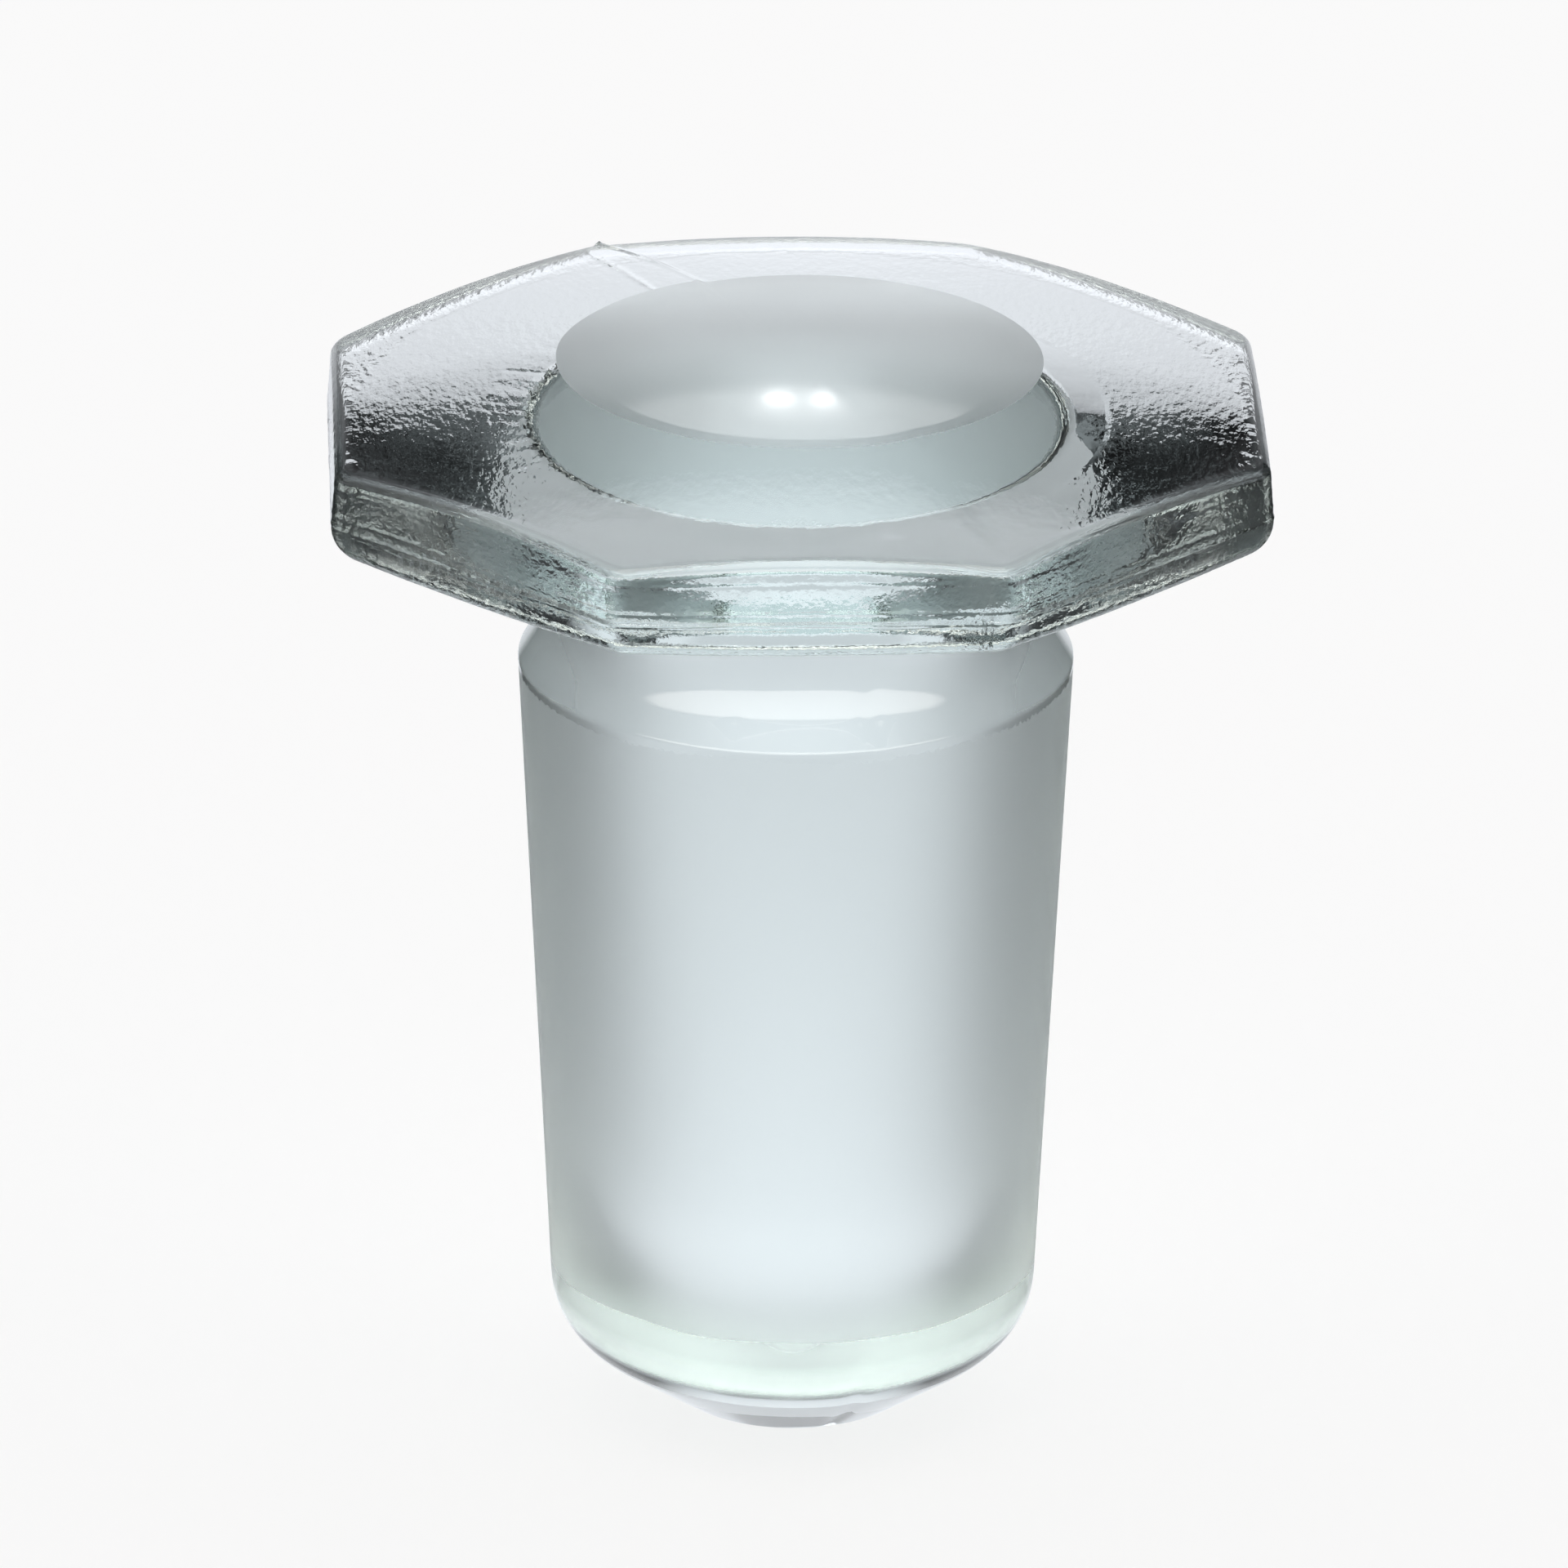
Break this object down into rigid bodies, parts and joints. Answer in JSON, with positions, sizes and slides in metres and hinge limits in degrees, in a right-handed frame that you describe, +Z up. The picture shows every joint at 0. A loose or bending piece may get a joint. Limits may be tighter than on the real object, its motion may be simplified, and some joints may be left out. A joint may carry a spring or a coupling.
{
  "type": "glass stopper",
  "caption": "Solid clear glass stopper: an octagonal domed head with a ground spot on top, on a ground tapered plug with a clear rounded foot.",
  "frame": {"origin": "middle of the flat that the stopper stands on, at the foot of the plug", "axes": "+Z up the plug's axis to the head, -Y out of the front side of the octagon, which is turned 2 degrees about +Z"},
  "size_m": [0.0408, 0.0408, 0.048],
  "materials": {
    "glass": "clear pressed glass, ground to a satin on the plug's taper and on the spot at the crown"
  },
  "bodies": {
    "root": {"stopper": "glass"}
  },
  "joints": []
}
